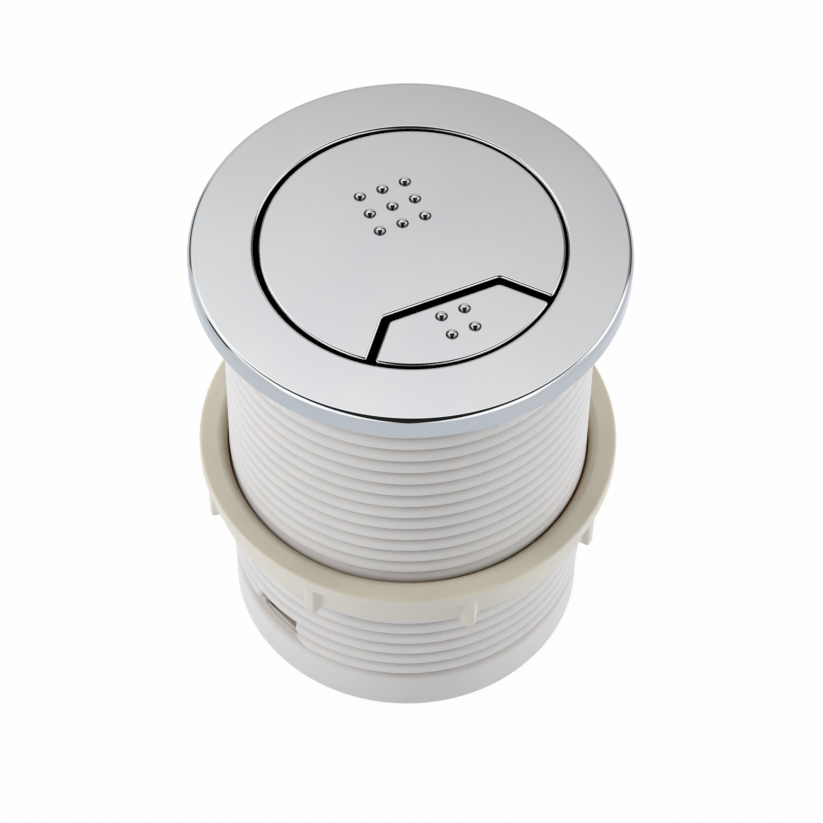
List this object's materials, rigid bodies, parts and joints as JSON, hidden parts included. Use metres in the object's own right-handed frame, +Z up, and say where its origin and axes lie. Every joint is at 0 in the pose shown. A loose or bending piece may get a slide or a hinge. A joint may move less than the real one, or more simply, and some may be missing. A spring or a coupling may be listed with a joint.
{
  "type": "push button cistern actuator",
  "caption": "Round chromed dual flush push button on a long white threaded body with a cream lock nut, working rubber air bellows for a cistern flush valve.",
  "frame": {"origin": "on the body's axis, in the plane where the bezel seats on the cistern lid", "axes": "+Z up along the body, out through the buttons; -Y from the axis to the half flush button; X along the straight middle of the divider"},
  "size_m": [0.07, 0.07, 0.087],
  "materials": {
    "chrome_plate": "bright chrome plating over moulded plastic",
    "white_plastic": "white moulded plastic, satin",
    "cream_nylon": "natural cream nylon, slightly translucent, satin",
    "black_rubber": "matt black rubber",
    "grey_acetal": "grey moulded acetal"
  },
  "bodies": {
    "body": {"threaded_body": "white_plastic", "bezel": "chrome_plate", "button_guide": "white_plastic", "bellows_base": "white_plastic", "full_flush_bellows": "black_rubber", "half_flush_bellows": "black_rubber", "full_flush_nozzle": "grey_acetal", "half_flush_nozzle": "grey_acetal", "nozzle_nuts": "grey_acetal"},
    "full_button": {"full_flush_button": "chrome_plate", "full_flush_plunger": "white_plastic"},
    "half_button": {"half_flush_button": "chrome_plate", "half_flush_plunger": "white_plastic"},
    "nut": {"lock_nut": "cream_nylon"}
  },
  "joints": [
    {"name": "full_flush_press", "type": "slide", "parent": "body", "child": "full_button", "axis": [0, 0, -1], "range_m": [0, 0.008], "stiffness_N_per_m": 500, "springref_m": -0.004, "deforming": ["full_flush_bellows"]},
    {"name": "half_flush_press", "type": "slide", "parent": "body", "child": "half_button", "axis": [0, 0, -1], "range_m": [0, 0.008], "stiffness_N_per_m": 500, "springref_m": -0.004, "deforming": ["half_flush_bellows"]},
    {"name": "nut_travel", "type": "slide", "parent": "body", "child": "nut", "axis": [0, 0, 1], "range_m": [-0.021, 0.042]}
  ]
}
